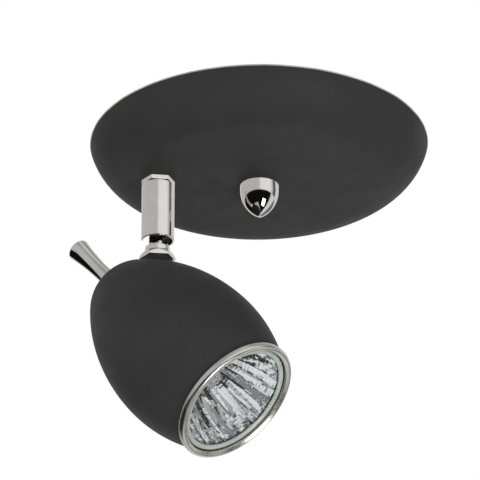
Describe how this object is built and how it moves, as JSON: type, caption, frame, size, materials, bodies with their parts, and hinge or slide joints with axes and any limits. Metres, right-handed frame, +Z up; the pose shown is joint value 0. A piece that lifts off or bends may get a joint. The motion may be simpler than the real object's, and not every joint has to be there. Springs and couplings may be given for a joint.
{
  "type": "adjustable ceiling spotlight",
  "caption": "Ceiling spotlight with a shallow round rose, a slotted swivel arm and an egg-shaped shade with a front ring, a turning lever and a twist-lock reflector lamp.",
  "frame": {"origin": "centre of the two ceiling screw slots, on the ceiling face", "axes": "+Z up into the ceiling, +Y along the bracket's two slots, -X towards the arm"},
  "size_m": [0.1576, 0.15, 0.1493],
  "materials": {
    "rose_paint": "matte graphite powder coat",
    "shade_paint": "matte graphite powder coat",
    "bright_chrome": "polished chrome plate",
    "zinc_steel": "zinc plated",
    "raw_brass": "machined brass",
    "terminal_plastic": "natural off-white",
    "washer_nylon": "self-lubricating nylon",
    "holder_ceramic": "glazed steatite",
    "lamp_ceramic": "cast cement",
    "lamp_mirror": "facetted aluminium-coated glass",
    "lamp_clear_glass": "clear pressed glass",
    "lamp_capsule_glass": "clear quartz",
    "lamp_tungsten": "tungsten"
  },
  "bodies": {
    "rose": {"canopy_shell": "rose_paint", "ceiling_bracket": "zinc_steel", "centre_stud": "zinc_steel", "stud_nuts": "zinc_steel", "cap_nut": "bright_chrome", "terminal_block": "terminal_plastic", "terminal_sleeves": "raw_brass", "terminal_screws": "raw_brass", "block_screws": "zinc_steel", "earth_nut": "zinc_steel", "earth_washer": "zinc_steel", "earth_screw": "zinc_steel", "swivel_nipple": "zinc_steel", "swivel_collar": "bright_chrome", "swivel_lock_washer": "zinc_steel", "swivel_nut": "zinc_steel", "swivel_washer": "washer_nylon"},
    "arm": {"slotted_sleeve": "bright_chrome", "fork": "zinc_steel", "stop_pin": "zinc_steel", "pivot_screw": "bright_chrome", "tilt_washers": "washer_nylon"},
    "head": {"neck": "bright_chrome", "neck_nut": "bright_chrome", "saddle_washer": "bright_chrome", "inner_saddle": "zinc_steel", "stub_nut": "zinc_steel", "shade": "shade_paint", "front_ring": "bright_chrome", "lever": "bright_chrome", "lever_screw": "zinc_steel", "holder_bracket": "zinc_steel", "lampholder": "holder_ceramic", "lampholder_cap": "holder_ceramic", "holder_contacts": "raw_brass", "holder_screws": "zinc_steel"},
    "lamp": {"lamp_front_glass": "lamp_clear_glass", "lamp_reflector": "lamp_mirror", "lamp_base": "lamp_ceramic", "lamp_pins": "raw_brass", "lamp_capsule": "lamp_capsule_glass", "lamp_filament": "lamp_tungsten"}
  },
  "joints": [
    {"name": "pan", "type": "hinge", "parent": "rose", "child": "arm", "pos_m": [-0.0447, 0, -0.02084], "axis": [0, 0, 1], "range_deg": [-314.4, 15.6]},
    {"name": "tilt", "type": "hinge", "parent": "arm", "child": "head", "pos_m": [-0.0447, 0, -0.04024], "axis": [0.515, 0.8572, 0], "range_deg": [-18, 42]},
    {"name": "lamp_twist", "type": "hinge", "parent": "head", "child": "lamp", "pos_m": [-0.01373, -0.01861, -0.12808], "axis": [-0.5713, 0.3433, 0.7455], "range_deg": [0, 20]}
  ]
}
